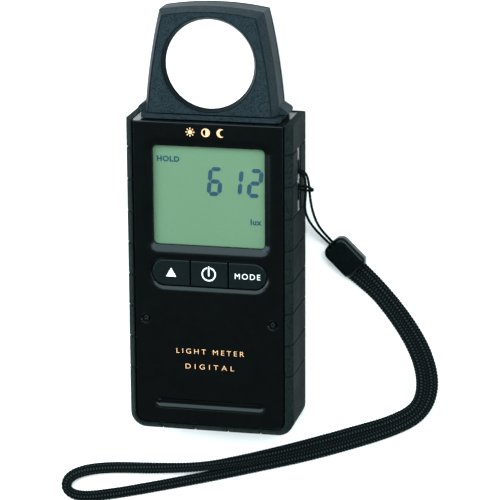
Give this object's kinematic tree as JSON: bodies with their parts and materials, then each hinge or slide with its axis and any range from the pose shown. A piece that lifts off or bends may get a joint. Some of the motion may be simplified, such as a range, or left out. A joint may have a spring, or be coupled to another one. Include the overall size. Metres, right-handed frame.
{
  "type": "handheld light meter",
  "caption": "Pocket lux meter with a swivelling white-disc sensor head, a wide display, a row of buttons, a rubber guard and a braided wrist strap.",
  "frame": {"origin": "under the middle of the meter, without its strap, on the surface that it lies on", "axes": "+X right, +Y towards the sensor head, +Z out of the display side"},
  "size_m": [0.1341, 0.1834, 0.0241],
  "materials": {
    "case_black": "polished black moulding",
    "cover_black": "fine matte texture",
    "guard_rubber": "matte soft rubber",
    "head_plastic": "fine spark texture",
    "button_black": "satin moulding with printed legends",
    "window_clear": "clear polished",
    "lcd_glass": "grey-green display",
    "diffuser_white": "matte white",
    "screw_black": "black oxide",
    "screw_steel": "plated",
    "spring_steel": "nickel plated",
    "board_green": "solder mask",
    "chip_black": "moulded epoxy",
    "white_plastic": "moulded",
    "zebra_pink": "elastomer",
    "cell_jacket": "printed foil jacket, plain",
    "filter_green": "coloured filter",
    "sensor_metal": "plated can",
    "lead_black": "flexible sheath",
    "cord_black": "woven thin cord",
    "tape_black": "flat braid",
    "cap_black": "satin moulding"
  },
  "bodies": {
    "meter_body": {"case_body": "case_black", "rear_cover": "cover_black", "rubber_guard": "guard_rubber", "battery_cells": "cell_jacket", "battery_springs": "spring_steel", "battery_contacts": "spring_steel", "rear_screws": "screw_steel", "front_screws": "screw_black", "main_board": "board_green", "controller_chip": "chip_black", "board_components": "chip_black", "lead_connector": "white_plastic", "tact_switches": "chip_black", "display_window": "window_clear", "lcd_panel": "lcd_glass", "lcd_holder": "white_plastic", "lcd_reflector": "white_plastic", "zebra_strips": "zebra_pink", "swivel_washer": "spring_steel", "sensor_lead": "lead_black", "strap_cord": "cord_black", "strap_end_cap": "cap_black", "wrist_tape": "tape_black"},
    "sensor_head": {"swivel_foot": "head_plastic", "retaining_clip": "spring_steel", "head_front_shell": "head_plastic", "head_rear_shell": "head_plastic", "head_screws": "screw_steel", "diffuser_ring": "head_plastic", "diffuser_disc": "diffuser_white", "sensor_board": "board_green", "photodiode": "sensor_metal", "filter_holder": "chip_black", "filter_glass": "filter_green"},
    "up_button_cap": {"up_button": "button_black"},
    "power_button_cap": {"power_button": "button_black"},
    "mode_button_cap": {"mode_button": "button_black"},
    "door": {"battery_door": "cover_black"}
  },
  "joints": [
    {"name": "head_swivel", "type": "hinge", "parent": "meter_body", "child": "sensor_head", "pos_m": [0, 0.03515, 0.012], "axis": [0, 1, 0], "range_deg": [-90, 180]},
    {"name": "up_press", "type": "slide", "parent": "meter_body", "child": "up_button_cap", "axis": [0, 0, -1], "range_m": [0, 0.0006], "stiffness_N_per_m": 1500},
    {"name": "power_press", "type": "slide", "parent": "meter_body", "child": "power_button_cap", "axis": [0, 0, -1], "range_m": [0, 0.0006], "stiffness_N_per_m": 1500},
    {"name": "mode_press", "type": "slide", "parent": "meter_body", "child": "mode_button_cap", "axis": [0, 0, -1], "range_m": [0, 0.0006], "stiffness_N_per_m": 1500},
    {"name": "door_hinge", "type": "hinge", "parent": "meter_body", "child": "door", "pos_m": [0, -0.0656, 0.0009], "axis": [-1, 0, 0], "range_deg": [0, 85]}
  ]
}
